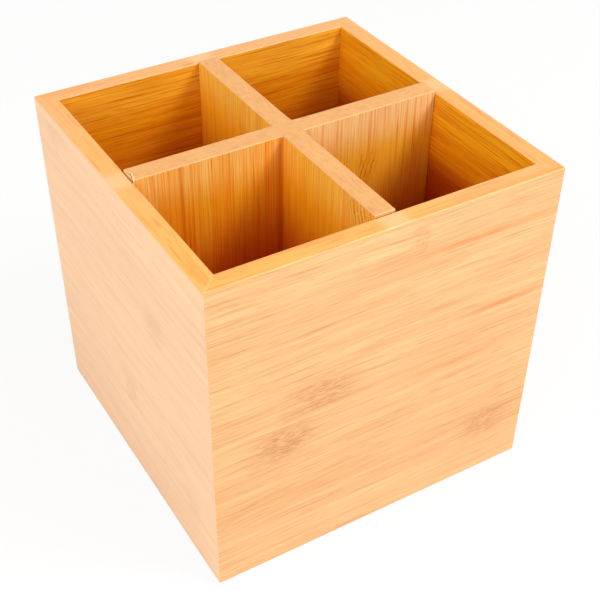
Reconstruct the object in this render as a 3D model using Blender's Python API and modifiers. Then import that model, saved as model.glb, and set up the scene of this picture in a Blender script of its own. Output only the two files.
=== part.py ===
# Four-pocket bamboo cutlery holder.
# Four mitred walls hold a base panel in a groove near the floor. Two dividers cross in a
# cross-lap joint, stand on the base and butt against the walls, so the box has four equal pockets.
# Metres, +Z up. The origin is under the middle of the box, on the surface that it stands on.
# The front wall faces -Y.

import math

import bmesh
import bpy
from mathutils import Matrix, Vector

# Outside of the box
BOX_WIDTH = 0.152          # left to right
BOX_DEPTH = 0.152          # front to back
WALL_HEIGHT = 0.150
WALL_THICKNESS = 0.008

# Base panel, housed in the walls
BASE_THICKNESS = 0.005
BASE_LIFT = 0.004          # floor to the underside of the panel
GROOVE_DEPTH_SHARE = 0.5   # share of the wall's thickness

# Dividers
DIVIDER_THICKNESS = 0.009
DIVIDER_PROUD = 0.001      # height of their top edges above the rim
LAP_SHARE = 0.5            # share of the divider's height where the two slots meet

# Finish and fit
WALL_EASE = 0.0007         # radius sanded on the walls' arrises
BOARD_EASE = 0.0005        # radius sanded on the base panel's and the dividers' arrises
EASE_STEPS = 3             # facets round an eased arris
FIT_GAP = 0.0003           # between two glued or seated faces
CUT_OVERRUN = 0.002        # how far a cutter passes the material that it removes
WELD_SHARE = 0.1           # share of the fit gap within which a cap's points are one

# Worked out from the sizes above
inside_width = BOX_WIDTH - 2 * WALL_THICKNESS
inside_depth = BOX_DEPTH - 2 * WALL_THICKNESS
groove_depth = WALL_THICKNESS * GROOVE_DEPTH_SHARE
base_top = BASE_LIFT + BASE_THICKNESS
divider_foot = base_top + FIT_GAP
divider_height = WALL_HEIGHT + DIVIDER_PROUD - divider_foot
lap_level = divider_foot + divider_height * LAP_SHARE


def clear_scene():
    for thing in list(bpy.data.objects):
        bpy.data.objects.remove(thing, do_unlink=True)


def new_collection(name):
    collection = bpy.data.collections.new(name)
    bpy.context.scene.collection.children.link(collection)
    return collection


def bamboo(name, colour, roughness):
    material = bpy.data.materials.new(name)
    material.use_nodes = True
    shader = material.node_tree.nodes["Principled BSDF"]
    shader.inputs["Base Color"].default_value = (*colour, 1.0)
    shader.inputs["Roughness"].default_value = roughness
    shader.inputs["Metallic"].default_value = 0.0
    return material


def board(name, size, centre, collection):
    """A rectangular board of the given size, with its scale already in its mesh."""
    shape = bmesh.new()
    bmesh.ops.create_cube(shape, size=1.0, matrix=Matrix.Diagonal((*size, 1.0)))
    mesh = bpy.data.meshes.new(name)
    shape.to_mesh(mesh)
    shape.free()
    thing = bpy.data.objects.new(name, mesh)
    thing.location = centre
    collection.objects.link(thing)
    return thing


def as_cutter(thing):
    thing.hide_render = True
    thing.display_type = "WIRE"
    return thing


def ease_arrises(thing, radius):
    bevel = thing.modifiers.new("eased_arrises", "BEVEL")
    bevel.limit_method = "ANGLE"
    bevel.width = radius
    bevel.segments = EASE_STEPS


def cut(thing, cutter, operation, label):
    boolean = thing.modifiers.new(label, "BOOLEAN")
    boolean.operation = operation
    boolean.solver = "EXACT"
    boolean.object = cutter


def prism(name, outline, low, high, collection):
    """A flat outline in plan, given height between two levels."""
    curve = bpy.data.curves.new(name, "CURVE")
    curve.dimensions = "2D"
    curve.fill_mode = "BOTH"
    curve.extrude = (high - low) / 2
    spline = curve.splines.new("POLY")
    spline.points.add(len(outline) - 1)
    for point, (x, y) in zip(spline.points, outline):
        point.co = (x, y, 0.0, 1.0)
    spline.use_cyclic_u = True
    flat = bpy.data.objects.new(name, curve)
    collection.objects.link(flat)
    bpy.context.view_layer.update()

    evaluated = flat.evaluated_get(bpy.context.evaluated_depsgraph_get())
    mesh = bpy.data.meshes.new_from_object(evaluated)
    bpy.data.objects.remove(flat, do_unlink=True)
    shape = bmesh.new()
    shape.from_mesh(mesh)
    bmesh.ops.remove_doubles(shape, verts=shape.verts, dist=FIT_GAP * WELD_SHARE)
    bmesh.ops.recalc_face_normals(shape, faces=shape.faces)
    shape.to_mesh(mesh)
    shape.free()
    thing = bpy.data.objects.new(name, mesh)
    thing.location = (0.0, 0.0, (low + high) / 2)
    collection.objects.link(thing)
    return thing


def mitre_wedge(name, length, across, collection):
    """What lies between a wall's two mitre planes, in plan, for a wall on the -Y side."""
    seam = FIT_GAP / math.sqrt(2.0)        # moves each plane back by half the gap, square to it
    outer_half = length / 2 + CUT_OVERRUN - seam
    inner_half = length / 2 - WALL_THICKNESS - CUT_OVERRUN - seam
    outer_face = -across / 2 - CUT_OVERRUN
    inner_face = -across / 2 + WALL_THICKNESS + CUT_OVERRUN
    outline = [
        (-outer_half, outer_face),
        (outer_half, outer_face),
        (inner_half, inner_face),
        (-inner_half, inner_face),
    ]
    return as_cutter(prism(name, outline, -CUT_OVERRUN, WALL_HEIGHT + CUT_OVERRUN, collection))


def groove_plate(collection):
    """A plate as thick as the groove, whose rim is the groove in all four walls."""
    size = (
        inside_width + 2 * groove_depth,
        inside_depth + 2 * groove_depth,
        BASE_THICKNESS + 2 * FIT_GAP,
    )
    centre = (0.0, 0.0, BASE_LIFT + BASE_THICKNESS / 2)
    return as_cutter(board("groove_plate", size, centre, collection))


def make_wall(name, length, across, turns, parts, cutters, groove, material):
    """A wall built on the -Y side of the box and turned by quarter turns to its own side.

    The board is full length with its arrises eased, and is then mitred, so the two halves of
    a box corner share one eased edge.
    """
    size = (length, WALL_THICKNESS, WALL_HEIGHT)
    centre = Vector((0.0, (WALL_THICKNESS - across) / 2, WALL_HEIGHT / 2))
    turn = Matrix.Rotation(math.radians(90.0 * turns), 4, "Z")

    wall = board(name, size, turn @ centre, parts)
    wall.rotation_euler = turn.to_euler()
    ease_arrises(wall, WALL_EASE)

    wedge = mitre_wedge(name + "_wedge", length, across, cutters)
    wedge.rotation_euler = turn.to_euler()
    cut(wall, wedge, "INTERSECT", "mitred_ends")
    cut(wall, groove, "DIFFERENCE", "base_groove")
    wall.data.materials.append(material)
    return wall


def make_base(parts, material):
    """The base panel fills the grooves but for the fit gap, and is held when the box closes."""
    tongue = groove_depth - FIT_GAP
    size = (inside_width + 2 * tongue, inside_depth + 2 * tongue, BASE_THICKNESS)
    base = board("base_panel", size, (0.0, 0.0, BASE_LIFT + BASE_THICKNESS / 2), parts)
    ease_arrises(base, BOARD_EASE)
    base.data.materials.append(material)
    return base


def make_divider(name, span, turns, slot_low, slot_high, parts, cutters, material):
    """A divider that runs along X before its quarter turns, with its half of the cross-lap."""
    turn = Matrix.Rotation(math.radians(90.0 * turns), 4, "Z")
    size = (span - 2 * FIT_GAP, DIVIDER_THICKNESS, divider_height)
    divider = board(name, size, (0.0, 0.0, divider_foot + divider_height / 2), parts)
    divider.rotation_euler = turn.to_euler()
    ease_arrises(divider, BOARD_EASE)

    slot_size = (
        DIVIDER_THICKNESS + 2 * FIT_GAP,
        DIVIDER_THICKNESS + 2 * CUT_OVERRUN,
        slot_high - slot_low,
    )
    slot = board(name + "_slot", slot_size, (0.0, 0.0, (slot_low + slot_high) / 2), cutters)
    slot.rotation_euler = turn.to_euler()
    cut(divider, as_cutter(slot), "DIFFERENCE", "cross_lap")
    divider.data.materials.append(material)
    return divider


def build():
    clear_scene()
    parts = new_collection("cutlery_holder")
    cutters = new_collection("cutters")
    wall_bamboo = bamboo("bamboo_walls", (0.91, 0.56, 0.26), 0.42)
    divider_bamboo = bamboo("bamboo_dividers", (0.84, 0.47, 0.19), 0.45)
    base_bamboo = bamboo("bamboo_base", (0.80, 0.46, 0.20), 0.50)

    groove = groove_plate(cutters)
    for turns, name in enumerate(("front_wall", "right_wall", "back_wall", "left_wall")):
        runs_across = turns % 2 == 0
        length = BOX_WIDTH if runs_across else BOX_DEPTH
        across = BOX_DEPTH if runs_across else BOX_WIDTH
        make_wall(name, length, across, turns, parts, cutters, groove, wall_bamboo)

    make_base(parts, base_bamboo)

    # The left-right divider is slotted from below and keeps a whole top edge over the crossing.
    # The front-back divider is slotted from above.
    make_divider("divider_left_right", inside_width, 0,
                 divider_foot - CUT_OVERRUN, lap_level + FIT_GAP / 2,
                 parts, cutters, divider_bamboo)
    make_divider("divider_front_back", inside_depth, 1,
                 lap_level - FIT_GAP / 2, divider_foot + divider_height + CUT_OVERRUN,
                 parts, cutters, divider_bamboo)


build()
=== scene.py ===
import math

import bpy
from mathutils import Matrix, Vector


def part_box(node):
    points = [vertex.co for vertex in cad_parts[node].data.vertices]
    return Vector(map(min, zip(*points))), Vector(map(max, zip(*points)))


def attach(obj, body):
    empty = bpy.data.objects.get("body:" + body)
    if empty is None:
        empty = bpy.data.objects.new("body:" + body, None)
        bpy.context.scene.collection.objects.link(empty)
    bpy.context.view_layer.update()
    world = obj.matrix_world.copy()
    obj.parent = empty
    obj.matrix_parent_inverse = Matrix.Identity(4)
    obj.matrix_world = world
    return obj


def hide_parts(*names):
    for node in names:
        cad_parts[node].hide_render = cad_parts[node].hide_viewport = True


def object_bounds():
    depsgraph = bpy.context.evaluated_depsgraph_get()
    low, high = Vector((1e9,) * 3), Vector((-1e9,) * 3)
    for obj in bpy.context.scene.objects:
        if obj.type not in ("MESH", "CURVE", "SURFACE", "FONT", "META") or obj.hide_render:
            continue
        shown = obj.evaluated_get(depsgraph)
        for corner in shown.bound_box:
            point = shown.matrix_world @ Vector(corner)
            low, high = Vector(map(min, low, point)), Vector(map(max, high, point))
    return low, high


# Bamboo cutlery holder: four mitred walls, a housed base and two crossed dividers. Metres, +Z up.
# Every board comes from one Geometry Nodes tree, and its grain runs on the "boardPlace" attribute.

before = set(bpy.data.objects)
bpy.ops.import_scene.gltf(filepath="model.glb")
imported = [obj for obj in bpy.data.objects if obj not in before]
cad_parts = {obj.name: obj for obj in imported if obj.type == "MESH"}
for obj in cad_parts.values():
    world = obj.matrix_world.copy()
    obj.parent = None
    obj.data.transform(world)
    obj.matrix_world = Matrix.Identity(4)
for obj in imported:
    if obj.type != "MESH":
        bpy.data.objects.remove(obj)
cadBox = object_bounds()
scene = bpy.context.scene


# Shared helpers

mm = 0.001
vector, scalar, mapRange = "ShaderNodeVectorMath", "ShaderNodeMath", "ShaderNodeMapRange"
splitVector, joinVector = "ShaderNodeSeparateXYZ", "ShaderNodeCombineXYZ"


def toLinear(hexColour):
    # The sRGB curve, one channel at a time
    channels = [int(hexColour[i:i + 2], 16) / 255 for i in (1, 3, 5)]
    linear = [c / 12.92 if c <= 0.04045 else ((c + 0.055) / 1.055) ** 2.4 for c in channels]
    return (*linear, 1.0)


def addNode(tree, kind, inputs=None, **settings):
    # An input is found by its name or its number, and takes a value, a socket or a node's first output
    node = tree.nodes.new(kind)
    for name, value in settings.items():
        setattr(node, name, value)
    sockets = [socket for socket in node.inputs if socket.enabled]
    for key, value in (inputs or {}).items():
        if isinstance(key, int):
            socket = sockets[key]
        else:
            socket = next(s for s in sockets if key in (s.name, s.identifier))
        if isinstance(value, bpy.types.Node):
            value = next(s for s in value.outputs if s.enabled)
        if isinstance(value, bpy.types.NodeSocket):
            tree.links.new(value, socket)
        else:
            socket.default_value = value
    return node


def chain(tree, kind, value, *steps):
    # A row of maths nodes: each takes the last one's output, and then the step's own values
    for operation, *others in steps:
        value = addNode(tree, kind, dict(enumerate([value, *others])), operation=operation)
    return value


# The view of the photograph, from a fit to the corners of the box

view = {
    "place": (-0.196747, -0.334012, 0.372564),
    "turn": (49.384, -0.070, -30.275),  # degrees
    "lens": 67.368,  # millimetres on a 36 mm sensor
    "shift": (0.0263, 0.07215),
    "clipStart": 0.01,
}


def addCamera():
    data = bpy.data.cameras.new("photographView")
    data.lens = view["lens"]
    data.shift_x, data.shift_y = view["shift"]
    data.clip_start = view["clipStart"]
    camera = bpy.data.objects.new("photographView", data)
    camera.location = view["place"]
    camera.rotation_euler = [math.radians(angle) for angle in view["turn"]]
    scene.collection.objects.link(camera)
    scene.camera = camera


# One tree makes every board: eased arrises, mitred or square ends, a notch, and its strips numbered

boardInputs = {
    "Size": "NodeSocketVector",  # length, thickness, height
    "Centre": "NodeSocketVector",
    "Quarter Turns": "NodeSocketInt",
    "Laid Flat": "NodeSocketBool",  # the outer face turned down
    "Ease": "NodeSocketFloat",  # radius sanded on the arrises
    "Ease Facets": "NodeSocketInt",  # facets in half an arris
    "Half Segments": "NodeSocketVector",  # rows of faces from the middle to the arris, along each side
    "Mitre": "NodeSocketFloat",  # 1 mitres both ends, 0 leaves them square
    "Seam": "NodeSocketFloat",  # kept off each end for the glue line
    "Low End Gap": "NodeSocketFloat",  # how far the low end stands off at its top
    "Low End Depth": "NodeSocketFloat",  # how far down it does
    "Flush Half": "NodeSocketFloat",  # half length about the middle where the arrises stay square
    "Notched": "NodeSocketBool",
    "Notch Low": "NodeSocketVector",
    "Notch High": "NodeSocketVector",
    "Upright": "NodeSocketBool",  # strips stand up along the board, or else lie one over the other
    "Grain Shift": "NodeSocketVector",
    "Seed": "NodeSocketInt",
    "Bamboo": "NodeSocketMaterial",
}
boardShape = {
    "easeFacets": 3,
    "weld": 0.005 * mm,  # points nearer than this are one
    "squareFactor": 1e4,  # brings any point past the flat out to a square arris's corner
    "endFacing": 0.9,  # a face that looks this squarely along the board is an end
    "sharpAngle": 30,  # degrees between faces past which an edge is drawn sharp
    "flatFacing": 0.9999,  # a face that looks this squarely along an axis is flat
}


def shapeBoard(tree, given, half):
    # A cube from -1 to 1, with whole rows for the body and for the arrises
    rows = addNode(tree, vector, {0: given["Half Segments"], 1: given["Ease Facets"]}, operation="ADD")
    points = addNode(tree, vector, {0: rows, 1: (2, 2, 2), 2: (1, 1, 1)}, operation="MULTIPLY_ADD")
    counts = addNode(tree, splitVector, {0: points}).outputs
    cube = addNode(tree, "GeometryNodeMeshCube", {
        "Size": (2, 2, 2), "Vertices X": counts["X"], "Vertices Y": counts["Y"], "Vertices Z": counts["Z"]})

    # The inner share of each side is spread over the body, and the rest is turned round the arris
    unit = addNode(tree, "GeometryNodeInputPosition")
    share = addNode(tree, vector, {0: given["Half Segments"], 1: rows}, operation="DIVIDE")
    away = addNode(tree, vector, {0: unit}, operation="ABSOLUTE")
    body = addNode(tree, vector, {0: half, 1: given["Ease"]}, operation="SUBTRACT")
    core = chain(tree, vector, away, ("MINIMUM", share), ("DIVIDE", share), ("MULTIPLY", body))
    rest = addNode(tree, vector, {0: (1, 1, 1), 1: share}, operation="SUBTRACT")
    outer = chain(tree, vector, away, ("SUBTRACT", share), ("MAXIMUM", (0, 0, 0)), ("DIVIDE", rest),
                  ("SCALE", math.pi / 4), ("TANGENT",))
    eased = addNode(tree, vector, {0: outer}, operation="NORMALIZE")

    # By the crossing the arris is left square: there the largest of each pair of parts fills the corner
    square = chain(tree, vector, outer, ("SCALE", boardShape["squareFactor"]), ("MINIMUM", (1, 1, 1)))
    alongUnit = addNode(tree, splitVector, {0: core}).outputs["X"]
    squareShare = addNode(tree, mapRange, {
        "Value": alongUnit, "From Min": given["Flush Half"],
        "From Max": addNode(tree, scalar, {0: given["Flush Half"], 1: 2.0}, operation="MULTIPLY"),
        "To Min": 1.0, "To Max": 0.0})
    isFlush = addNode(tree, scalar, {0: given["Flush Half"], 1: 0.0}, operation="GREATER_THAN")
    squareShare = addNode(tree, scalar, {0: squareShare, 1: isFlush}, operation="MULTIPLY")
    shell = addNode(tree, "ShaderNodeMix", {"Factor": squareShare, "A": eased, "B": square},
                    data_type="VECTOR")
    shell = addNode(tree, vector, {0: shell.outputs[1], "Scale": given["Ease"]}, operation="SCALE")
    place = addNode(tree, vector, {0: core, 1: shell}, operation="ADD")
    sign = addNode(tree, vector, {0: unit}, operation="SIGN")
    return cube, addNode(tree, vector, {0: place, 1: sign}, operation="MULTIPLY"), body


def placeEnds(tree, given, place, halfPart):
    # A mitre takes as much off the length as the point lies behind the outer face
    part = addNode(tree, splitVector, {0: place}).outputs
    depth = addNode(tree, scalar, {0: part["Y"], 1: halfPart["Y"]}, operation="ADD")
    cutBack = addNode(tree, scalar, {0: depth, 1: given["Mitre"], 2: given["Seam"]},
                      operation="MULTIPLY_ADD")
    reach = addNode(tree, scalar, {0: halfPart["X"], 1: cutBack}, operation="SUBTRACT")
    least = addNode(tree, scalar, {0: reach, 1: -1.0}, operation="MULTIPLY")
    along = addNode(tree, "ShaderNodeClamp", {"Value": part["X"], "Min": least, "Max": reach})

    # The low end stands off a hair near its top edge
    fromTop = addNode(tree, scalar, {0: halfPart["Z"], 1: part["Z"]}, operation="SUBTRACT")
    nearTop = addNode(tree, mapRange, {
        "Value": fromTop, "From Min": 0.0, "From Max": given["Low End Depth"], "To Min": 1.0, "To Max": 0.0})
    atEnd = addNode(tree, mapRange, {
        "Value": part["X"],
        "From Min": addNode(tree, scalar, {0: least, 1: given["Ease"]}, operation="ADD"), "From Max": least})
    gap = addNode(tree, scalar, {0: given["Low End Gap"], 1: nearTop}, operation="MULTIPLY")
    along = addNode(tree, scalar, {0: gap, 1: atEnd, 2: along}, operation="MULTIPLY_ADD")
    return addNode(tree, joinVector, {"X": along, "Y": part["Y"], "Z": part["Z"]})


def cutNotch(tree, given, board):
    # The notch is the base's groove in a wall, and half of the cross-lap in a divider
    size = addNode(tree, vector, {0: given["Notch High"], 1: given["Notch Low"]}, operation="SUBTRACT")
    place = chain(tree, vector, given["Notch High"], ("ADD", given["Notch Low"]), ("SCALE", 0.5))
    notch = addNode(tree, "GeometryNodeMeshCube", {"Size": size})
    notch = addNode(tree, "GeometryNodeTransform", {"Geometry": notch, "Translation": place})
    notched = addNode(tree, "GeometryNodeMeshBoolean", {"Mesh 1": board, "Mesh 2": notch},
                      operation="DIFFERENCE", solver="EXACT")
    notched = addNode(tree, "GeometryNodeMergeByDistance", {
        "Geometry": notched, "Distance": boardShape["weld"]})
    return addNode(tree, "GeometryNodeSwitch", {
        "Switch": given["Notched"], "False": board, "True": notched}, input_type="GEOMETRY")


def numberStrips(tree, given, part, body):
    # Strips are counted down from the rim, or from the low end of an upright board
    bodyPart = addNode(tree, splitVector, {0: body}).outputs
    rowPart = addNode(tree, splitVector, {0: given["Half Segments"]}).outputs
    stripHeight = addNode(tree, scalar, {0: bodyPart["Z"], 1: rowPart["Z"]}, operation="DIVIDE")
    stripLength = addNode(tree, scalar, {0: bodyPart["X"], 1: rowPart["X"]}, operation="DIVIDE")
    below = chain(tree, scalar, bodyPart["Z"], ("SUBTRACT", part["Z"]), ("DIVIDE", stripHeight))
    beyond = chain(tree, scalar, bodyPart["X"], ("ADD", part["X"]), ("DIVIDE", stripLength))
    strip = addNode(tree, "GeometryNodeSwitch", {
        "Switch": given["Upright"], "False": below, "True": beyond}, input_type="FLOAT")
    strips = addNode(tree, "GeometryNodeSwitch", {
        "Switch": given["Upright"], "False": rowPart["Z"], "True": rowPart["X"]}, input_type="FLOAT")
    last = addNode(tree, scalar, {0: strips, 1: 2.0, 2: -1.0}, operation="MULTIPLY_ADD")
    strip = addNode(tree, scalar, {0: strip}, operation="FLOOR")
    return addNode(tree, "ShaderNodeClamp", {"Value": strip, "Min": 0.0, "Max": last})


def makeBoardTree():
    tree = bpy.data.node_groups.new("laminatedBoard", "GeometryNodeTree")
    for label, kind in boardInputs.items():
        tree.interface.new_socket(name=label, in_out="INPUT", socket_type=kind)
    tree.interface.new_socket(name="Board", in_out="OUTPUT", socket_type="NodeSocketGeometry")
    given = tree.nodes.new("NodeGroupInput").outputs

    half = addNode(tree, vector, {0: given["Size"], "Scale": 0.5}, operation="SCALE")
    halfPart = addNode(tree, splitVector, {0: half}).outputs
    cube, place, body = shapeBoard(tree, given, half)
    place = placeEnds(tree, given, place, halfPart)
    board = addNode(tree, "GeometryNodeSetPosition", {"Geometry": cube, "Position": place})
    board = addNode(tree, "GeometryNodeMergeByDistance", {"Geometry": board, "Distance": boardShape["weld"]})
    board = cutNotch(tree, given, board)

    # Each point keeps its place in the board: along the grain, across it, and behind the outer face
    spot = addNode(tree, "GeometryNodeInputPosition")
    part = addNode(tree, splitVector, {0: spot}).outputs
    depth = addNode(tree, scalar, {0: part["Y"], 1: halfPart["Y"]}, operation="ADD")
    lying = addNode(tree, joinVector, {"X": part["X"], "Y": part["Z"], "Z": depth})
    standing = addNode(tree, joinVector, {"X": part["Z"], "Y": part["X"], "Z": depth})
    grain = addNode(tree, "GeometryNodeSwitch", {
        "Switch": given["Upright"], "False": lying, "True": standing}, input_type="VECTOR")
    shifted = addNode(tree, vector, {0: grain, 1: given["Grain Shift"]}, operation="ADD")
    for label, value in (("boardPlace", grain), ("grainPlace", shifted)):
        board = addNode(tree, "GeometryNodeStoreNamedAttribute", {
            "Geometry": board, "Name": label, "Value": value}, data_type="FLOAT_VECTOR", domain="POINT")

    # Each face keeps its strip, that strip's own tone, and whether it is on an end
    facing = addNode(tree, splitVector, {0: addNode(tree, "GeometryNodeInputNormal")})
    isEnd = chain(tree, scalar, facing, ("ABSOLUTE",), ("GREATER_THAN", boardShape["endFacing"]))
    strip = numberStrips(tree, given, part, body)
    chance = addNode(tree, "FunctionNodeRandomValue", {
        "Min": -1.0, "Max": 1.0, "ID": strip, "Seed": given["Seed"]}, data_type="FLOAT")
    for label, value in (("endFace", isEnd), ("strip", strip), ("stripTone", chance)):
        board = addNode(tree, "GeometryNodeStoreNamedAttribute", {
            "Geometry": board, "Name": label, "Value": value}, data_type="FLOAT", domain="FACE")

    quarter = addNode(tree, scalar, {0: given["Quarter Turns"], 1: math.pi / 2}, operation="MULTIPLY")
    tip = addNode(tree, scalar, {0: given["Laid Flat"], 1: math.pi / 2}, operation="MULTIPLY")
    turn = addNode(tree, joinVector, {"X": tip, "Z": quarter})
    board = addNode(tree, "GeometryNodeTransform", {
        "Geometry": board, "Translation": given["Centre"], "Rotation": turn})
    board = addNode(tree, "GeometryNodeRealizeInstances", {"Geometry": board})
    board = addNode(tree, "GeometryNodeSetMaterial", {"Geometry": board, "Material": given["Bamboo"]})
    addNode(tree, "NodeGroupOutput", {"Board": board})
    return tree


# Shared parts of the bamboo

patternDetail = {  # how finely each noise breaks up, and how far it curls
    "crook": (2.0, 0.0), "wander": (1.0, 0.0), "bend": (1.0, 0.0),
    "fibre": (2.0, 0.0), "hair": (1.0, 0.0), "band": (2.0, 0.0), "cloud": (1.0, 0.0), "curl": (1.0, 0.9),
    "wobble": (2.0, 0.0), "endTone": (2.0, 0.0), "bundle": (1.0, 0.0), "dash": (1.0, 0.0), "jag": (3.0, 0.0),
}
arrisTurn = (0.998, 0.88)  # how squarely a face looks along an axis: flat, and well rounded
knuckleFull = 0.7  # a knuckle has its whole strength from here up
lacquer = {
    "ior": 1.5,
    "bump": 0.35,
    "relief": {"fibre": 1.0, "band": 0.5},
    "dulled": {"fibre": -0.25, "cloud": 0.1},
}


def stretchedNoise(tree, place, look, label):
    # A pattern's real size is in millimetres: along the grain, across it and through the board
    detail, curled = patternDetail[label]
    scale = [1 / (side * mm) for side in look["sizes"][label]]
    spot = addNode(tree, vector, {0: place, 1: scale}, operation="MULTIPLY")
    return addNode(tree, "ShaderNodeTexNoise", {
        "Vector": spot, "Scale": 1.0, "Detail": detail, "Distortion": curled})


def markParts(tree, label):
    # The three numbers of a mark on the mesh
    mark = addNode(tree, "ShaderNodeAttribute", attribute_name=label).outputs["Vector"]
    return addNode(tree, splitVector, {0: mark}).outputs


def nearness(tree, value, centre, reach):
    # 1 at the centre, falling smoothly to 0 at the reach
    off = chain(tree, scalar, value, ("SUBTRACT", centre), ("ABSOLUTE",))
    return addNode(tree, mapRange, {
        "Value": off, "From Min": 0.0, "From Max": reach, "To Min": 1.0, "To Max": 0.0},
        interpolation_type="SMOOTHSTEP")


def weighedSum(tree, grain, start, weights):
    # start plus each tone's distance from a half, times its weight
    total = start
    for label, weight in weights.items():
        total = chain(tree, scalar, grain[label], ("SUBTRACT", 0.5), ("MULTIPLY_ADD", weight, total))
    return total


def laidOver(tree, colour, over, masks, blend="MIX"):
    # Lays a hex colour or another node's over a colour, as far as all the masks allow. A mask is a number, a
    # socket, or a socket with the values where it starts and is full, and what is left of it below them.
    share = None
    for mask in masks:
        if isinstance(mask, tuple):
            value, start, full, *least = mask
            mask = addNode(tree, mapRange, {
                "Value": value, "From Min": start, "From Max": full, "To Min": least[0] if least else 0.0})
        if share is None:
            share = mask
        else:
            share = addNode(tree, scalar, {0: share, 1: mask}, operation="MULTIPLY")
    over = toLinear(over) if isinstance(over, str) else over
    return addNode(tree, "ShaderNodeMix", {"Factor": share, "A": colour, "B": over},
                   data_type="RGBA", blend_type=blend)


def paintFace(tree, grain, face, start=None):
    # Between the face's shade and its pale, as its tones weigh
    share = weighedSum(tree, grain, face["start"] if start is None else start, face["weights"])
    return addNode(tree, "ShaderNodeMix", {
        "Factor": share, "A": toLinear(face["shade"]), "B": toLinear(face["pale"])}, data_type="RGBA")


def drawLines(tree, grain, colour, face):
    # Long fibre lines, and the short hairs between them
    for label, share in zip(("line", "hairline"), face["lineShares"]):
        colour = laidOver(tree, colour, face["line"], [grain[label], share])
    return colour


def paintPocketShade(tree, colour, height, top, tints, masks=()):
    # Painted shade: down the pocket the colour darkens, each tint coming in between two depths, in
    # millimetres
    for tint, (start, full) in tints:
        reached = addNode(tree, mapRange, {
            "Value": height, "From Min": top - start * mm, "From Max": top - full * mm},
            interpolation_type="SMOOTHSTEP")
        colour = laidOver(tree, colour, tint, [reached, *masks], "MULTIPLY")
    return colour


def arrisMask(tree):
    # An arris is where the face turns away from all three axes
    normal = addNode(tree, "ShaderNodeTexCoord").outputs["Normal"]
    away = addNode(tree, vector, {0: normal}, operation="ABSOLUTE")
    part = addNode(tree, splitVector, {0: away}).outputs
    most = chain(tree, scalar, part["X"], ("MAXIMUM", part["Y"]), ("MAXIMUM", part["Z"]))
    return addNode(tree, mapRange, {"Value": most, "From Min": arrisTurn[0], "From Max": arrisTurn[1]})


def readGrain(tree, look):
    # Where the point lies in its board, and the tones that every face of the board shares
    part = markParts(tree, "boardPlace")
    grain = addNode(tree, "ShaderNodeAttribute", attribute_name="grainPlace").outputs["Vector"]
    mark = markParts(tree, "knuckle")
    found = {"along": part["X"], "across": part["Y"], "depth": part["Z"]}

    # Each strip is another piece of the stalk
    tone = addNode(tree, "ShaderNodeAttribute", attribute_name="stripTone").outputs["Fac"]
    found["strip"] = addNode(tree, scalar, {0: tone, 1: 0.5, 2: 0.5}, operation="MULTIPLY_ADD")
    other = addNode(tree, scalar, {0: tone, 1: look["stripJump"] * mm}, operation="MULTIPLY")
    other = addNode(tree, joinVector, {"X": other})
    grain = addNode(tree, vector, {0: grain, 1: other}, operation="ADD")
    found["place"] = grain
    for label in ("crook", "wander", "bend"):
        found[label] = stretchedNoise(tree, grain, look, label)

    # A knuckle is where the stalk had a joint: a crooked band over its strip, fading at the strip's sides
    fraction = chain(tree, scalar, part["Y"], ("DIVIDE", look["stripWidth"]), ("FRACT",))
    found["fraction"] = fraction
    crooked = weighedSum(tree, found, part["X"], {"crook": look["crook"] * mm})
    knuckle = addNode(tree, scalar, {
        0: nearness(tree, crooked, mark["X"], mark["Y"]),
        1: nearness(tree, fraction, 0.5, look["knuckleWidth"])}, operation="MULTIPLY")
    knuckle = addNode(tree, mapRange, {"Value": knuckle, "From Min": 0.0, "From Max": knuckleFull})
    knuckle = addNode(tree, scalar, {0: knuckle, 1: mark["Z"]}, operation="MULTIPLY")
    found["knuckle"] = knuckle

    # The fibres wander a little, and more at a knuckle
    wander = weighedSum(tree, found, 0.0, {"wander": look["wander"] * mm})
    bend = weighedSum(tree, found, 0.0, {"bend": look["bend"] * mm})
    shift = addNode(tree, scalar, {0: bend, 1: knuckle, 2: wander}, operation="MULTIPLY_ADD")
    shift = addNode(tree, joinVector, {"Y": shift})
    grain = addNode(tree, vector, {0: grain, 1: shift}, operation="ADD")
    for label in ("fibre", "hair", "band", "cloud", "curl"):
        found[label] = stretchedNoise(tree, grain, look, label)
    for label, source in (("line", "fibre"), ("hairline", "hair")):
        start, full = look[label]
        found[label] = addNode(tree, mapRange, {"Value": found[source], "From Min": start, "From Max": full},
                               interpolation_type="SMOOTHSTEP")
    return found


def finishBamboo(tree, colour, grain, look):
    # Sanded and lacquered: a satin film with the fibres just felt through it
    height = weighedSum(tree, grain, 0.5, lacquer["relief"])
    bump = addNode(tree, "ShaderNodeBump", {
        "Strength": lacquer["bump"], "Distance": look["relief"] * mm, "Height": height})
    roughness = weighedSum(tree, grain, look["roughness"], lacquer["dulled"])
    surface = addNode(tree, "ShaderNodeBsdfPrincipled", {
        "Base Color": colour, "Roughness": roughness, "IOR": lacquer["ior"], "Normal": bump})
    addNode(tree, "ShaderNodeOutputMaterial", {"Surface": surface})


# Walls: flat-pressed bamboo, wide strips with their broad side out, sanded and lacquered satin.
# The eye sees pale straw boards with long soft lines, a brown knuckle here and there, and orange
# streaks where two strips meet.

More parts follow.
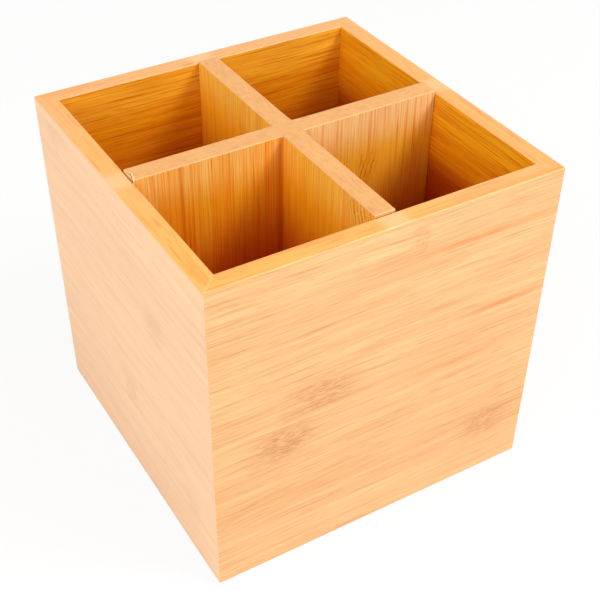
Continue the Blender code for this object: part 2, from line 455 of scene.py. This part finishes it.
wallLook = {
    # Each face: its colours, how strongly its lines and hairs are drawn, and how the tones weigh
    "outer": {"pale": "#F8C488", "shade": "#DA9552", "line": "#BC7630", "lineShares": (0.26, 0.34),
              "start": 0.60, "weights": {"fibre": -1.1, "band": 0.9, "cloud": 0.5, "strip": 0.16}},
    "inner": {"pale": "#FFC034", "shade": "#E07E02", "line": "#C46600", "lineShares": (0.44, 0.42),
              "start": 0.58, "weights": {"fibre": -1.5, "band": 1.25, "cloud": 0.7, "strip": 0.25}},
    "rim": {"pale": "#F3AE50", "shade": "#E8A86A", "line": "#D67E2C", "lineShares": (0.52, 0.42),
            "weights": {"cloud": 0.8, "band": 0.8}},
    # Painted shade of the pockets: the inner faces darken with depth
    "paintedPocketShade": (("#F4DC5C", (3, 22)), ("#E49E68", (18, 60))),  # tint, and where it comes in
    "amber": "#FFFC80", "paintedRedShade": (("#C48C80", (20, 42)),),  # only on the marked wall: an amber tint, and painted shade further down the pocket
    "line": (0.54, 0.70), "hairline": (0.56, 0.74),  # where the noise starts and is full
    "paintedSheen": "#F9DBBE",
    "seamWidth": 0.3, "seamShown": (0.50, 0.60), "seamShare": 0.55,  # glue line between two strips
    "streak": "#EE8636", "streakWidth": 2.4, "streakBroken": (0.25, 0.60),
    "brown": "#C27A34", "curlDark": (0.49, 0.59), "curlPale": (0.46, 0.34),
    "knuckleShares": (0.5, 0.7, 0.8),  # the stain, its dark curls and its pale ones
    "innerFrom": (0.7, 0.2),  # millimetres before the inner face where its look starts and is full
    "rimFrom": (0.55, 0.15),  # the same below the top
    "rimBands": (0.50, 0.66), "rimBandShare": 0.30,
    "rimPatch": "#FABC82", "patchPlace": 1.0, "patchReach": 8.5, "patchWander": 5.0,
    "patchShown": (0.05, 0.70), "patchShare": 0.75,
    # Arris: a pale colour, partly rubbed wear and partly a painted highlight; it also draws the light mitre
    # line
    "arris": "#FFD7A0", "mitreWidth": 0.6, "rubbedAndLit": (0.2, 0.8), "rubbedAndLitShare": 0.25,
    "knuckleWidth": 0.70, "stripJump": 400, "crook": 16, "wander": 3.5, "bend": 3.6,
    "sizes": {
        "crook": (9, 6, 8), "wander": (70, 16, 16), "bend": (7, 8, 8),
        "fibre": (32, 0.66, 1.0),  # the real fibres are half as wide, too fine to show
        "hair": (10, 0.44, 0.7), "band": (120, 3.6, 5), "cloud": (60, 15, 30), "curl": (4.5, 0.66, 2.0),
    },
    "relief": 0.03,
    "roughness": 0.42,
}


def flatPressedBamboo(name, look, wallSize):
    material = bpy.data.materials.new(name)
    material.use_nodes = True
    tree = material.node_tree
    tree.nodes.clear()
    grain = readGrain(tree, look)
    force, amberAndDeepShade = [addNode(tree, "ShaderNodeAttribute", attribute_name=label).outputs["Fac"]
                     for label in ("streakForce", "amberAndDeepShade")]
    kind = markParts(tree, "rimToneAndSheen")
    length, thickness, height = wallSize
    rimAt = height / 2

    # Outer face, with the glue line between two strips seen here and there
    outer = paintFace(tree, grain, look["outer"])
    outer = drawLines(tree, grain, outer, look["outer"])
    seam = nearness(tree, grain["fraction"], 0.0, look["seamWidth"] * mm / look["stripWidth"])
    outer = laidOver(tree, outer, look["outer"]["line"], [
        seam, (grain["cloud"], *look["seamShown"]), look["seamShare"]])

    # Orange streak beside a strip's edge
    mark = markParts(tree, "streak")
    outer = laidOver(tree, outer, look["streak"], [
        nearness(tree, grain["along"], mark["X"], mark["Y"]),
        nearness(tree, grain["across"], mark["Z"], look["streakWidth"] * mm),
        force, (grain["band"], *look["streakBroken"])])

    # Knuckle: a brown stain with short curled fibres, dark and pale
    stain, dark, pale = look["knuckleShares"]
    knuckle = grain["knuckle"]
    outer = laidOver(tree, outer, look["brown"], [knuckle, stain])
    outer = laidOver(tree, outer, look["brown"], [(grain["curl"], *look["curlDark"]), knuckle, dark])
    outer = laidOver(tree, outer, look["outer"]["pale"], [(grain["curl"], *look["curlPale"]), knuckle, pale])
    # A painted sheen pales the outer face of one wall
    outer = laidOver(tree, outer, look["paintedSheen"], [kind["Z"]])

    # Inner face: more amber and with bolder bands, and painted shade deepening it down the pocket
    inner = paintFace(tree, grain, look["inner"])
    inner = drawLines(tree, grain, inner, look["inner"])
    inner = paintPocketShade(tree, inner, grain["across"], rimAt, look["paintedPocketShade"])
    # One wall's inner face: an amber tint, then painted shade that reddens it further down the pocket
    inner = laidOver(tree, inner, look["amber"], [amberAndDeepShade], "MULTIPLY")
    inner = paintPocketShade(tree, inner, grain["across"], rimAt, look["paintedRedShade"], [amberAndDeepShade])
    start, full = [thickness - distance * mm for distance in look["innerFrom"]]
    colour = laidOver(tree, outer, inner, [(grain["depth"], start, full)])

    # Rim: the strips' edge grain, yellower at some corners, and paler where a divider was sanded off
    place = addNode(tree, mapRange, {
        "Value": grain["along"], "From Min": -length / 2, "From Max": length / 2})
    yellow = addNode(tree, "ShaderNodeMix", {"Factor": place, "A": kind["X"], "B": kind["Y"]})
    rim = paintFace(tree, grain, look["rim"], start=yellow)
    rim = laidOver(tree, rim, look["rim"]["line"], [
        (grain["band"], *look["rimBands"]), look["rimBandShare"]])
    rim = drawLines(tree, grain, rim, look["rim"])
    patch = weighedSum(tree, grain, grain["along"], {"curl": look["patchWander"] * mm})
    patch = nearness(tree, patch, look["patchPlace"] * mm, look["patchReach"] * mm)
    rim = laidOver(tree, rim, look["rimPatch"], [(patch, *look["patchShown"]), look["patchShare"]])
    start, full = [rimAt - distance * mm for distance in look["rimFrom"]]
    onRim = (grain["across"], start, full)
    colour = laidOver(tree, colour, rim, [onRim])

    # Light line along a mitre, and the arrises pale: partly rubbed wear, partly a painted highlight
    off = chain(tree, scalar, grain["along"], ("ABSOLUTE",), ("ADD", grain["depth"]))
    light = markParts(tree, "mitreLight")
    light = addNode(tree, "ShaderNodeMix", {"Factor": place, "A": light["X"], "B": light["Y"]})
    colour = laidOver(tree, colour, look["arris"], [
        nearness(tree, off, length / 2, look["mitreWidth"] * mm), light, onRim])
    colour = laidOver(tree, colour, look["arris"], [
        arrisMask(tree), (grain["band"], *look["rubbedAndLit"]), look["rubbedAndLitShare"]])
    finishBamboo(tree, colour, grain, look)
    return material


# Dividers: side-pressed bamboo, narrow strips stood on edge, with the fibres upright.
# The eye sees fine dark pin lines close together, strips of unlike amber, and a smooth top of end grain.

dividerLook = {
    "side": {"pale": "#FFD070", "shade": "#FB9E1E", "line": "#E67A08", "lineShares": (0.62, 0.58),
             "start": 0.60, "weights": {"fibre": -1.0, "band": 1.2, "cloud": 0.8, "strip": 0.20}},
    "top": {"pale": "#EAAC66", "shade": "#D69654",
            "start": 0.60, "weights": {"endTone": 1.0, "bundle": 1.0, "dash": 1.4, "strip": 0.2}},
    # Painted shade of the pockets: the faces darken with depth
    "paintedPocketShade": (("#F6DC54", (3, 22)), ("#E29C60", (18, 60))),  # tint, and where it comes in
    "line": (0.52, 0.68), "hairline": (0.54, 0.72),  # where the noise starts and is full
    "paler": "#FFDCA0",
    # golden: partly the board's own tone, partly painted bounce light that brightens it
    "goldenAndBounceLight": "#FFC640", "stripeWeights": {"band": 1.0, "strip": 0.4}, "stripes": (0.30, 0.64, 0.3),
    "glue": "#CC6A0C", "seamWidth": 0.35, "seamShown": (0.44, 0.56, 0.2), "seamShare": 0.6,
    "stain": "#E08216", "stainWander": 2.0,
    "brown": "#C46C04", "glint": "#FFCC60", "curlDark": (0.0, 0.9), "curlPale": (0.0, -0.9),
    "knuckleShares": (0.7, 0.8),  # the dark strokes and the bright ones
    "wobble": 3.5, "strokeCurl": 0.8, "strokePitch": 2.2, "strokeLean": -0.25,
    "bundle": "#B8793A", "dots": (0.55, 0.75), "dotShare": 0.30, "dashes": (0.60, 0.68), "dashShare": 0.55,
    "topFrom": (0.45, 0.1),  # millimetres below the top where its look starts and is full
    # Arris: painted shade that dims the highlight on the lit arrises
    "arris": "#EDB272", "arrisShare": 0.5,
    "knuckleWidth": 0.8, "stripJump": 150, "crook": 5, "wander": 1.2, "bend": 3.0,
    "sizes": {
        "crook": (6, 4, 4), "wander": (60, 12, 12), "bend": (5, 4, 4),
        "fibre": (55, 0.50, 0.50),  # the real pin lines are half as wide, too fine to show
        "hair": (28, 0.38, 0.38), "band": (150, 2.6, 2.6), "cloud": (60, 14, 30), "curl": (5.0, 1.1, 1.1),
        "wobble": (4, 5, 5), "endTone": (30, 9, 3), "bundle": (1, 0.4, 0.4), "dash": (30, 7, 0.5),
        "jag": (30, 1.4, 1.2),
    },
    "relief": 0.02,
    "roughness": 0.45,
}
lowEndLook = {  # distances in millimetres
    # light: a painted highlight on the end's arris, and the pale of the torn edge
    "light": "#FFDCAC", "crack": "#6E4018",
    "overRim": (1.3, 0.9),  # below the top, where the end clears the rim
    "arrisBand": (0.5, -0.1),  # inside the end, where its arris is lit
    "glueAndShadeBelow": (1.1, 1.4),  # below the top, where the end is painted dark: the glue line, and painted shade in the gap
    "start": -0.25, "lean": 0.20,  # the split's distance from the end, and its drift towards the back
    "jag": 1.4,
    "turnsBack": (5.7, 5.0), "stops": (6.0, 5.7),  # behind the front face
    "crackReach": 0.3, "tornPlace": 0.5, "tornReach": 0.6, "tornShare": 0.7,
}


def drawLowEnd(tree, grain, colour, look, length, topAt, end):
    # The arris over the low end takes a painted highlight
    lit, split = [addNode(tree, "ShaderNodeAttribute", attribute_name=label).outputs["Fac"]
                  for label in ("endHighlight", "split")]
    own = lowEndLook
    start, full = [topAt - distance * mm for distance in own["overRim"]]
    overRim = (grain["along"], start, full)
    start, full = [distance * mm - length / 2 for distance in own["arrisBand"]]
    colour = laidOver(tree, colour, own["light"], [(grain["across"], start, full), overRim, lit])

    # A jagged split over the top: a sliver has stayed glued to the wall, and the torn edge is pale
    grain["jag"] = stretchedNoise(tree, grain["place"], look, "jag")
    path = addNode(tree, scalar, {0: grain["depth"], 1: own["lean"], 2: own["start"] * mm},
                   operation="MULTIPLY_ADD")
    path = weighedSum(tree, grain, path, {"jag": own["jag"] * mm})
    start, full = [distance * mm for distance in own["turnsBack"]]
    kept = addNode(tree, mapRange, {"Value": grain["depth"], "From Min": start, "From Max": full})
    path = addNode(tree, scalar, {0: path, 1: kept}, operation="MULTIPLY")
    fromSplit = chain(tree, scalar, grain["across"], ("ADD", length / 2), ("SUBTRACT", path))
    start, full = [distance * mm for distance in own["stops"]]
    inFront = (grain["depth"], start, full)
    colour = laidOver(tree, colour, own["light"], [
        nearness(tree, fromSplit, own["tornPlace"] * mm, own["tornReach"] * mm),
        inFront, overRim, split, own["tornShare"]])
    colour = laidOver(tree, colour, own["crack"], [
        nearness(tree, fromSplit, 0.0, own["crackReach"] * mm), inFront, overRim, split])
    # Below the glue depth the end face is painted dark: glue, and painted shade in the gap
    start, full = [topAt - distance * mm for distance in own["glueAndShadeBelow"]]
    return laidOver(tree, colour, own["crack"], [end, (grain["along"], start, full)])


def sidePressedBamboo(name, look, boardSize):
    material = bpy.data.materials.new(name)
    material.use_nodes = True
    tree = material.node_tree
    tree.nodes.clear()
    grain = readGrain(tree, look)
    paler, goldenAndBounceLight, end = [addNode(tree, "ShaderNodeAttribute", attribute_name=label).outputs["Fac"]
                          for label in ("paler", "goldenAndBounceLight", "endFace")]
    length, thickness, height = boardSize
    topAt = height / 2

    # Faces, with some strips paler, and one board golden all over: partly its own tone, partly painted
    # bounce light
    side = paintFace(tree, grain, look["side"])
    side = laidOver(tree, side, look["paler"], [paler])
    stripes = weighedSum(tree, grain, 0.5, look["stripeWeights"])
    side = laidOver(tree, side, look["goldenAndBounceLight"], [goldenAndBounceLight, (stripes, *look["stripes"])])
    side = drawLines(tree, grain, side, look["side"])

    # Glue lines between the strips, darker here and there, and strips that are deeper in colour: stains, the
    # one by the crossing partly painted corner shade
    seam = nearness(tree, grain["fraction"], 0.0, look["seamWidth"] * mm / look["stripWidth"])
    side = laidOver(tree, side, look["glue"], [
        seam, (grain["cloud"], *look["seamShown"]), look["seamShare"]])
    # Stains, and by the crossing partly painted shade of the corner
    mark = markParts(tree, "stain")
    edge = weighedSum(tree, grain, grain["across"], {"band": look["stainWander"] * mm})
    side = laidOver(tree, side, look["stain"], [nearness(tree, edge, mark["X"], mark["Y"]), mark["Z"]])

    # Knuckle: upright strokes, wavy and side by side, by turns dark and bright
    grain["wobble"] = stretchedNoise(tree, grain["place"], look, "wobble")
    stroke = weighedSum(tree, grain, grain["across"], {
        "wobble": look["wobble"] * mm, "curl": look["strokeCurl"] * mm})
    stroke = chain(tree, scalar, grain["along"], ("MULTIPLY_ADD", look["strokeLean"], stroke),
                   ("MULTIPLY", 2 * math.pi / (look["strokePitch"] * mm)), ("SINE",))
    dark, bright = look["knuckleShares"]
    side = laidOver(tree, side, look["brown"], [(stroke, *look["curlDark"]), grain["knuckle"], dark])
    side = laidOver(tree, side, look["glint"], [(stroke, *look["curlPale"]), grain["knuckle"], bright])
    # Painted shade: the faces darken down the pocket
    side = paintPocketShade(tree, side, grain["along"], topAt, look["paintedPocketShade"])

    # Top: end grain, sanded smooth, with the fibres' ends as fine dots and a few dark dashes
    for label in ("endTone", "bundle", "dash"):
        grain[label] = stretchedNoise(tree, grain["place"], look, label)
    top = paintFace(tree, grain, look["top"])
    top = laidOver(tree, top, look["bundle"], [(grain["bundle"], *look["dots"]), look["dotShare"]])
    top = laidOver(tree, top, look["bundle"], [(grain["dash"], *look["dashes"]), look["dashShare"]])
    start, full = [topAt - distance * mm for distance in look["topFrom"]]
    onTop = addNode(tree, mapRange, {"Value": grain["along"], "From Min": start, "From Max": full})
    endGrain = addNode(tree, scalar, {0: onTop, 1: end}, operation="MAXIMUM")
    colour = laidOver(tree, side, top, [endGrain])
    # Painted shade over the arrises, dimming their highlight
    colour = laidOver(tree, colour, look["arris"], [arrisMask(tree), look["arrisShare"]])
    colour = drawLowEnd(tree, grain, colour, look, length, topAt, end)
    finishBamboo(tree, colour, grain, look)
    return material


# Boards

nowhere = (9.0, 0.001, 0.0)  # a mark with no strength, far from every board


def makeBoard(name, values):
    holder = bpy.data.objects.new(name, bpy.data.meshes.new(name))
    scene.collection.objects.link(holder)
    modifier = holder.modifiers.new("laminatedBoard", "NODES")
    modifier.node_group = boardTree
    values = {"Ease Facets": boardShape["easeFacets"], **values}
    for item in boardTree.interface.items_tree:
        if item.in_out == "INPUT" and item.name in values:
            modifier[item.identifier] = values[item.name]
    graph = bpy.context.evaluated_depsgraph_get()
    mesh = bpy.data.meshes.new_from_object(holder.evaluated_get(graph), depsgraph=graph)
    bpy.data.objects.remove(holder)
    mesh.name = name

    # The arrises are smooth, and the flats stay flat
    mesh.shade_smooth()
    mesh.set_sharp_from_angle(angle=math.radians(boardShape["sharpAngle"]))
    for face in mesh.polygons:
        face.use_smooth = max(abs(part) for part in face.normal) < boardShape["flatFacing"]
    piece = bpy.data.objects.new(name, mesh)
    scene.collection.objects.link(piece)
    return piece


def markStrips(piece, marks):
    # Each strip's faces carry its own marks, in metres along the grain and across it
    mesh = piece.data
    strips = [round(item.value) for item in mesh.attributes["strip"].data]
    for label, (plain, byStrip) in marks.items():
        kind = "FLOAT" if isinstance(plain, float) else "FLOAT_VECTOR"
        mesh.attributes.new(label, kind, "FACE")
        for item, strip in zip(mesh.attributes[label].data, strips):
            if kind == "FLOAT":
                item.value = byStrip.get(strip, plain)
            else:
                item.vector = byStrip.get(strip, plain)


walls = {
    "ease": 0.7 * mm,
    "seam": 0.015 * mm,  # glue line left open at each mitre
    "grooveClear": 0.05 * mm,  # round the base panel's edge
    "rowsPerHalf": (2.0, 1.0, 4.0),  # 8 strips of 18.6 mm
    # Knuckles: strip below the rim: (millimetres from the left end, half length, strength)
    # Streaks: strip: (millimetres from the left end, half length, millimetres below the rim, strength)
    # Kind: how yellow the rim is at the left end and the right end, and how far a painted sheen pales the
    # outer face
    # Mitre light: how clearly the mitre shows as a light line at the left end and the right end
    # Amber and deep shade: 1 where the inner face takes an amber tint and a painted shade that turns it
    # redder down the pocket
    "front_wall": {"seed": 3, "shift": (0.31, 0.12, 0.05),
                   "knuckles": {3: (47, 21, 0.55), 4: (30, 20, 0.7), 6: (130, 15, 0.45), 0: (88, 5, 0.35)},
                   "streaks": {0: (118, 55, 18, 0.9), 2: (130, 36, 55, 0.9), 4: (112, 50, 77, 0.5)},
                   "kind": (0.95, 0.35, 0.0), "mitreLight": (0.26, 0.0, 0.0), "amberAndDeepShade": 0.0},
    "right_wall": {"seed": 8, "shift": (1.37, 0.43, 0.21),
                   "knuckles": {1: (104, 11, 0.8), 5: (38, 11, 0.8), 6: (95, 10, 0.5)},
                   "streaks": {1: (60, 50, 35, 0.6), 4: (30, 40, 91, 0.7)},
                   "kind": (0.5, 0.4, 0.0), "mitreLight": (0.0, 0.0, 0.0), "amberAndDeepShade": 1.0},
    "back_wall": {"seed": 5, "shift": (2.11, 0.77, 0.43),
                  "knuckles": {2: (60, 11, 0.8), 4: (118, 12, 0.8), 7: (30, 10, 0.8)},
                  "streaks": {3: (100, 50, 57, 0.7), 5: (40, 35, 109, 0.6)},
                  "kind": (0.4, 0.3, 0.0), "mitreLight": (0.0, 0.0, 0.0), "amberAndDeepShade": 0.0},
    "left_wall": {"seed": 11, "shift": (3.53, 0.91, 0.67),
                  "knuckles": {0: (20, 9, 0.3), 2: (106, 12, 0.45), 5: (75, 12, 0.4), 6: (131, 10, 0.4)},
                  "streaks": {6: (40, 40, 128, 0.3)},
                  "kind": (0.3, 0.95, 0.30), "mitreLight": (0.0, 0.26, 0.0), "amberAndDeepShade": 0.0},
}


def makeWall(name, turns, material):
    low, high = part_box(name)
    size = high - low
    boxSize = cadBox[1] - cadBox[0]
    length, thickness = (boxSize.x, size.y) if turns % 2 == 0 else (boxSize.y, size.x)
    panelLow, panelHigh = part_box("base_panel")
    own = walls[name]
    centre = (low + high) / 2
    clear = walls["grooveClear"]
    # Behind the wall's inner face the base's edge sits in a groove
    houseDepth = (panelHigh.x - panelLow.x) / 2 - (length / 2 - thickness)
    notchLow = (-(panelHigh.x + clear), thickness / 2 - houseDepth - clear, panelLow.z - clear - centre.z)
    notchHigh = (panelHigh.x + clear, thickness, panelHigh.z + clear - centre.z)
    piece = makeBoard(name, {
        "Size": (length, thickness, size.z), "Centre": centre, "Quarter Turns": turns,
        "Ease": walls["ease"], "Half Segments": walls["rowsPerHalf"], "Mitre": 1.0, "Seam": walls["seam"],
        "Notched": True, "Notch Low": notchLow, "Notch High": notchHigh,
        "Grain Shift": own["shift"], "Seed": own["seed"], "Bamboo": material})

    def fromLeft(distance):
        return distance * mm - length / 2

    markStrips(piece, {
        "knuckle": (nowhere, {strip: (fromLeft(at), reach * mm, force)
                              for strip, (at, reach, force) in own["knuckles"].items()}),
        "streak": (nowhere, {strip: (fromLeft(at), reach * mm, size.z / 2 - down * mm)
                             for strip, (at, reach, down, force) in own["streaks"].items()}),
        "streakForce": (0.0, {strip: mark[3] for strip, mark in own["streaks"].items()}),
        "rimToneAndSheen": (own["kind"], {}),
        "mitreLight": (own["mitreLight"], {}),
        "amberAndDeepShade": (own["amberAndDeepShade"], {})})
    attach(piece, "root")
    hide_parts(name)
    return piece


dividers = {
    "ease": 0.5 * mm,
    "seam": 0.02 * mm,
    "slotClear": 0.02 * mm,  # round the other divider
    "rowsPerHalf": (15.0, 6.0, 6.0),  # 30 strips of 4.5 mm
    # Gap: how far the low end stands off the wall at its top, and how far down it does
    # Knuckles: strip from the low end: (millimetres below the top edge, half length, strength)
    # Stains and corner shade: (millimetres from the middle, half width, strength); the one beside the
    # crossing is partly painted shade of the corner
    # Paler: the first of the strips that are paler, and how much
    # Golden and bounce light, end highlight and split: how much the board is golden all over, partly its own
    # tone and partly painted bounce light, how strongly its low end's arris takes a painted highlight, and
    # its low end is split
    "divider_left_right": {"turns": 0, "seed": 21, "shift": (0.17, 0.33, 0.71),
                           "gap": (0.0, 5 * mm),
                           "knuckles": {22: (27, 11, 1.0), 23: (26, 9, 0.8), 2: (70, 8, 0.8)},
                           "stainsAndCornerShade": [(-48.8, 1.9, 0.65), (-6.0, 2.2, 0.8)], "paler": (15, 0.65),
                           "goldenAndBounceLight": 0.0, "endHighlight": 0.15, "split": 1.0},
    "divider_front_back": {"turns": 1, "seed": 27, "shift": (1.91, 0.55, 0.13),
                           "gap": (0.06 * mm, 3 * mm),
                           "knuckles": {0: (7, 9, 0.9), 1: (6, 9, 1.0), 2: (5, 8, 1.0), 3: (5, 6, 0.6)},
                           "stainsAndCornerShade": [(16.0, 4.0, 0.25)], "paler": (30, 0.0),
                           "goldenAndBounceLight": 1.0, "endHighlight": 0.15, "split": 0.0},
}


def makeDivider(name, material):
    own = dividers[name]
    low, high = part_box(name)
    size = high - low
    runsAcross = own["turns"] == 0
    thickness = size.y if runsAcross else size.x
    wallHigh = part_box("left_wall" if own["turns"] == 0 else "front_wall")[1]
    inside = wallHigh.x if runsAcross else wallHigh.y
    length = -2 * inside  # reaches the walls, but for the glue line
    clear = dividers["slotClear"]
    slotHalf = thickness / 2 + clear
    over = thickness  # how far the notch passes the board
    if runsAcross:
        slot = (-size.z / 2 - over, clear)
    else:
        slot = (-clear, size.z / 2 + over)
    piece = makeBoard(name, {
        "Size": (length, thickness, size.z), "Centre": (low + high) / 2, "Quarter Turns": own["turns"],
        "Ease": dividers["ease"], "Half Segments": dividers["rowsPerHalf"], "Seam": dividers["seam"],
        "Low End Gap": own["gap"][0], "Low End Depth": own["gap"][1], "Flush Half": slotHalf,
        "Notched": True, "Notch Low": (-slotHalf, -over, slot[0]), "Notch High": (slotHalf, over, slot[1]),
        "Upright": True, "Grain Shift": own["shift"], "Seed": own["seed"], "Bamboo": material})

    stripWidth = dividerLook["stripWidth"]
    stripsPerHalf = int(dividers["rowsPerHalf"][0])
    stainsAndCornerShade = {}
    for at, reach, force in own["stainsAndCornerShade"]:
        first = math.floor((at - reach) * mm / stripWidth)
        last = math.floor((at + reach) * mm / stripWidth)
        for strip in range(first, last + 1):
            stainsAndCornerShade[strip + stripsPerHalf] = (at * mm, reach * mm, force)
    firstPaler, paler = own["paler"]
    markStrips(piece, {
        "knuckle": (nowhere, {strip: (size.z / 2 - down * mm, reach * mm, force)
                              for strip, (down, reach, force) in own["knuckles"].items()}),
        "stain": (nowhere, stainsAndCornerShade),
        "goldenAndBounceLight": (own["goldenAndBounceLight"], {}),
        "endHighlight": (own["endHighlight"], {}),
        "split": (own["split"], {}),
        "paler": (0.0, {strip: paler for strip in range(firstPaler, 2 * stripsPerHalf)})})
    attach(piece, "root")
    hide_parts(name)
    return piece


# Base: the walls' bamboo, laid flat, and the whole of it painted with the full shade of the pockets' feet

base = {
    "ease": 0.5 * mm,
    "rowsPerHalf": (1.0, 1.0, 4.0),  # 8 strips of 17.9 mm
    "seed": 2, "shift": (4.1, 0.2, 0.9),
    "knuckles": {2: (30, 12, 0.8)},  # strip: (millimetres right of the middle, half length, strength)
}
baseLook = dict(wallLook)
# The pockets' painted shade comes in above the top here, so the whole base takes it
baseLook["paintedPocketShade"] = [(tint, (-2, -1)) for tint, depths in wallLook["paintedPocketShade"]]


def makeBase(material):
    low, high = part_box("base_panel")
    size = high - low
    piece = makeBoard("base_panel", {
        "Size": (size.x, size.z, size.y), "Centre": (low + high) / 2, "Laid Flat": True,
        "Ease": base["ease"], "Half Segments": base["rowsPerHalf"],
        "Grain Shift": base["shift"], "Seed": base["seed"], "Bamboo": material})
    markStrips(piece, {
        "knuckle": (nowhere, {strip: (at * mm, reach * mm, force)
                              for strip, (at, reach, force) in base["knuckles"].items()}),
        "streak": (nowhere, {})})
    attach(piece, "root")
    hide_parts("base_panel")
    return piece


# Studio: a pale paper floor, white light from all round, a key lamp at the right front, a broad soft one at
# the left and a weak one in front

studio = {
    "floor": "#F4F2EF",
    "floorSide": 40.0,
    "toothSize": 2.5,  # millimetres, coarser than real paper's so that it can show
    "floorRoughness": (0.75, 0.95),
    "floorSpecular": 0.1,
    "whiteShare": 0.88,  # how much of the floor's look is plain white
    "skyStrength": 0.53,
    "aim": (0.0, 0.0, 0.07),
    "lamps": {
        "keySoftbox": {"place": (0.60, -0.64, 1.05), "side": 0.50, "power": 11.2},
        "leftSoftbox": {"place": (-0.95, -0.25, 0.74), "side": 0.8, "power": 6.7},
        "frontSoftbox": {"place": (0.10, -1.20, 0.30), "side": 0.8, "power": 0.5},
    },
}


def seenDirectly(tree):
    path = addNode(tree, "ShaderNodeLightPath").outputs
    return chain(tree, scalar, path["Is Camera Ray"], ("MAXIMUM", path["Is Glossy Ray"]),
                 ("MAXIMUM", path["Is Transmission Ray"]))


def addFloor():
    material = bpy.data.materials.new("paperFloorMatt")
    material.use_nodes = True
    tree = material.node_tree
    tree.nodes.clear()
    spot = addNode(tree, "ShaderNodeTexCoord").outputs["Object"]
    tooth = addNode(tree, "ShaderNodeTexNoise", {
        "Vector": spot, "Scale": 1 / (studio["toothSize"] * mm), "Detail": 2.0})
    smooth, rough = studio["floorRoughness"]
    roughness = addNode(tree, mapRange, {"Value": tooth, "To Min": smooth, "To Max": rough})
    paper = addNode(tree, "ShaderNodeBsdfPrincipled", {
        "Base Color": toLinear(studio["floor"]), "Roughness": roughness,
        "Specular IOR Level": studio["floorSpecular"]})
    white = addNode(tree, "ShaderNodeEmission", {"Color": (1, 1, 1, 1), "Strength": 1.0})
    share = addNode(tree, scalar, {0: seenDirectly(tree), 1: studio["whiteShare"]}, operation="MULTIPLY")
    surface = addNode(tree, "ShaderNodeMixShader", {"Fac": share, 1: paper, 2: white})
    addNode(tree, "ShaderNodeOutputMaterial", {"Surface": surface})
    half = studio["floorSide"] / 2
    mesh = bpy.data.meshes.new("floor")
    mesh.from_pydata([(-half, -half, 0), (half, -half, 0), (half, half, 0), (-half, half, 0)], [],
                     [(0, 1, 2, 3)])
    mesh.materials.append(material)
    floor = bpy.data.objects.new("floor", mesh)
    scene.collection.objects.link(floor)


def addLight():
    world = bpy.data.worlds.new("whiteStudio")
    world.use_nodes = True
    tree = world.node_tree
    tree.nodes.clear()
    strength = addNode(tree, mapRange, {
        "Value": seenDirectly(tree), "To Min": studio["skyStrength"], "To Max": 1.0})
    sky = addNode(tree, "ShaderNodeBackground", {"Color": (1, 1, 1, 1), "Strength": strength})
    addNode(tree, "ShaderNodeOutputWorld", {"Surface": sky})
    scene.world = world
    for name, lamp in studio["lamps"].items():
        data = bpy.data.lights.new(name, "AREA")
        data.shape = "SQUARE"
        data.size = lamp["side"]
        data.energy = lamp["power"]
        light = bpy.data.objects.new(name, data)
        light.location = lamp["place"]
        aim = Vector(studio["aim"]) - Vector(lamp["place"])
        light.rotation_euler = aim.to_track_quat("-Z", "Y").to_euler()
        scene.collection.objects.link(light)


addCamera()
scene.view_settings.view_transform = "Standard"
print("camera set")

boardTree = makeBoardTree()
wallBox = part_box("front_wall")
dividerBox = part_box("divider_left_right")
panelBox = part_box("base_panel")
wallSize, dividerSize, panelSize = [high - low for low, high in (wallBox, dividerBox, panelBox)]
wallLook["stripWidth"] = (wallSize.z / 2 - walls["ease"]) / walls["rowsPerHalf"][2]
dividerLook["stripWidth"] = (dividerSize.x / 2 - dividers["ease"]) / dividers["rowsPerHalf"][0]
baseLook["stripWidth"] = (panelSize.y / 2 - base["ease"]) / base["rowsPerHalf"][2]
wallBamboo = flatPressedBamboo("bambooFlatPressedSatin", wallLook, wallSize)
dividerBamboo = sidePressedBamboo("bambooSidePressedSatin", dividerLook, dividerSize)
baseBamboo = flatPressedBamboo("bambooBasePanelSatin", baseLook, (panelSize.x, panelSize.z, panelSize.y))
print("bamboo made")

for turns, name in enumerate(("front_wall", "right_wall", "back_wall", "left_wall")):
    makeWall(name, turns, wallBamboo)
for name in ("divider_left_right", "divider_front_back"):
    makeDivider(name, dividerBamboo)
makeBase(baseBamboo)
print("boards made")

addFloor()
addLight()
print("studio made")
